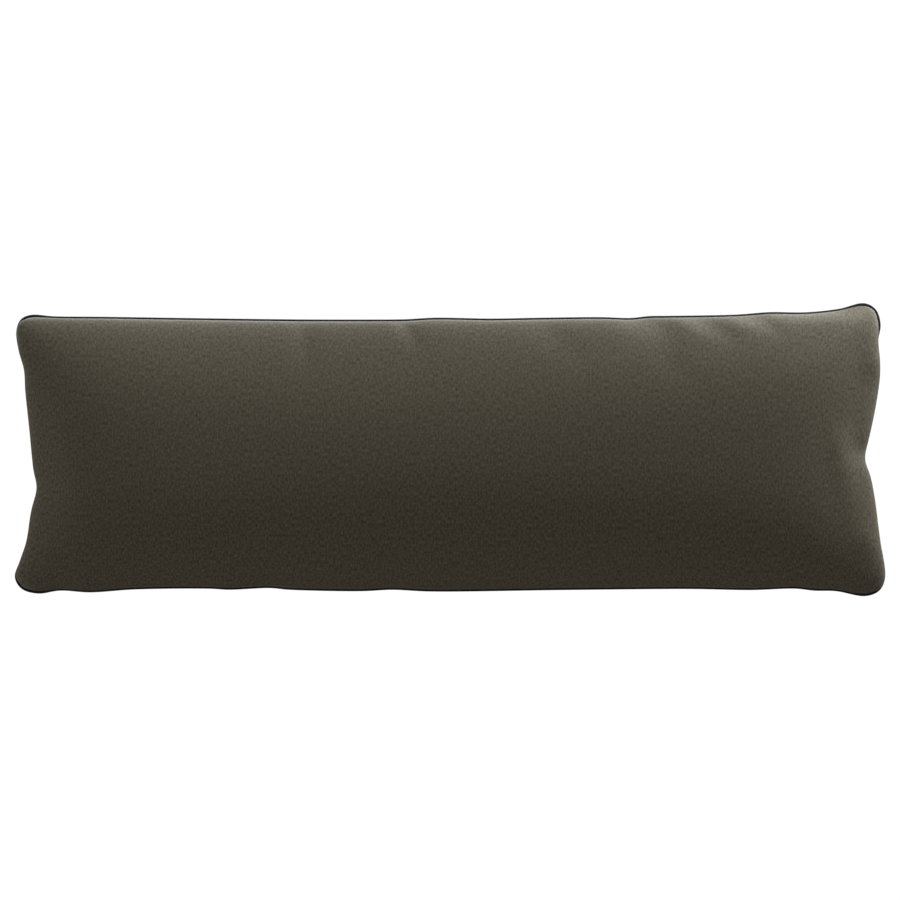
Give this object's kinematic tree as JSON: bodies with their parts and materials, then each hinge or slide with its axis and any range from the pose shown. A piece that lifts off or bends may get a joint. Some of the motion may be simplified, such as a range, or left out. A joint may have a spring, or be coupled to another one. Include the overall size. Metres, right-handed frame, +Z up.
{
  "type": "backrest cushion",
  "caption": "Long filled backrest cushion of dark taupe woven cloth, two panels sewn edge to edge with a thin black piping; lies flat on its back.",
  "frame": {"origin": "on the floor under the middle of the cushion's box", "axes": "+X along the cushion, +Y towards its top edge, +Z up out of its front face"},
  "size_m": [1.2001, 0.4046, 0.1272],
  "materials": {
    "panel_cloth": "dark taupe melange plain weave, matt",
    "piping_cloth": "near black bias-cut cloth over a round cord"
  },
  "bodies": {
    "root": {"cushion_body": "panel_cloth", "piping": "piping_cloth"}
  },
  "joints": []
}
